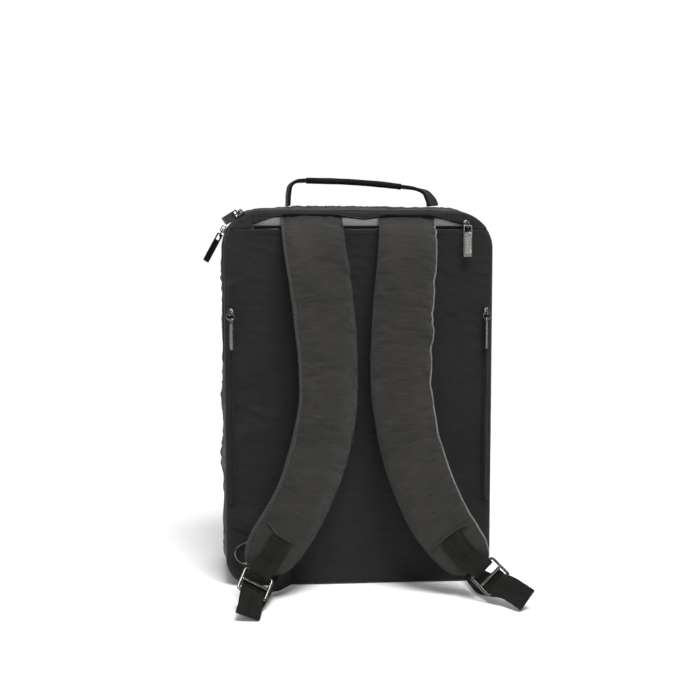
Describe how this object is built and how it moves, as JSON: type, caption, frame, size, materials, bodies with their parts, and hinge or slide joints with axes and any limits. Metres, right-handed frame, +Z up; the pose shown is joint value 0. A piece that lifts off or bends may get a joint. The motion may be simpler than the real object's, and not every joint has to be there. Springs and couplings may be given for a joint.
{
  "type": "convertible backpack",
  "caption": "Rectangular soft bag on its base with padded shoulder straps out of a zipped rear pocket, webbing through metal sliders, and a top handle.",
  "frame": {"origin": "middle of the bag's flat base, on the floor", "axes": "+Z up along the height, -Y out of the harness side, +X to the right seen from that side"},
  "size_m": [0.3369, 0.2614, 0.4484],
  "materials": {
    "nylon": "black nylon twill, matt",
    "lining": "pale grey-green lining, matt",
    "zip_tape": "black zip tape with coil",
    "strap_cloth": "dark grey nylon twill, matt",
    "strap_mesh": "black knitted mesh",
    "webbing": "black woven webbing, slight sheen",
    "nickel": "polished nickel",
    "gunmetal": "polished gunmetal",
    "dark_metal": "black, satin"
  },
  "bodies": {
    "root": {"back_panel": "nylon", "back_yoke": "nylon", "gusset_back": "nylon", "gusset_front": "nylon", "front_panel": "nylon", "d_ring_tab": "nylon", "pocket_lining": "lining", "slot_tape_upper": "zip_tape", "slot_tape_lower": "zip_tape", "main_zip_tape": "zip_tape", "side_zip_left": "zip_tape", "side_zip_right": "zip_tape", "strap_pad_left": "strap_cloth", "strap_pad_right": "strap_cloth", "strap_mesh_left": "strap_mesh", "strap_mesh_right": "strap_mesh", "strap_tab_left": "webbing", "strap_tab_right": "webbing", "strap_webbing_left": "webbing", "strap_webbing_right": "webbing", "handle_leg_left": "webbing", "handle_leg_right": "webbing", "handle_grip": "webbing", "strap_buckle_left": "nickel", "strap_buckle_right": "nickel", "d_ring_left": "nickel", "slot_zip_slider": "gunmetal", "slot_zip_ring": "gunmetal", "side_zip_left_slider": "gunmetal", "side_zip_left_ring": "gunmetal", "side_zip_right_slider": "gunmetal", "side_zip_right_ring": "gunmetal", "main_zip_upper_slider": "gunmetal", "main_zip_upper_ring": "gunmetal", "main_zip_lower_slider": "gunmetal", "main_zip_lower_ring": "gunmetal", "slot_zip_pull": "dark_metal", "side_zip_left_pull": "dark_metal", "side_zip_right_pull": "dark_metal", "main_zip_upper_pull": "dark_metal", "main_zip_lower_pull": "dark_metal"}
  },
  "joints": []
}
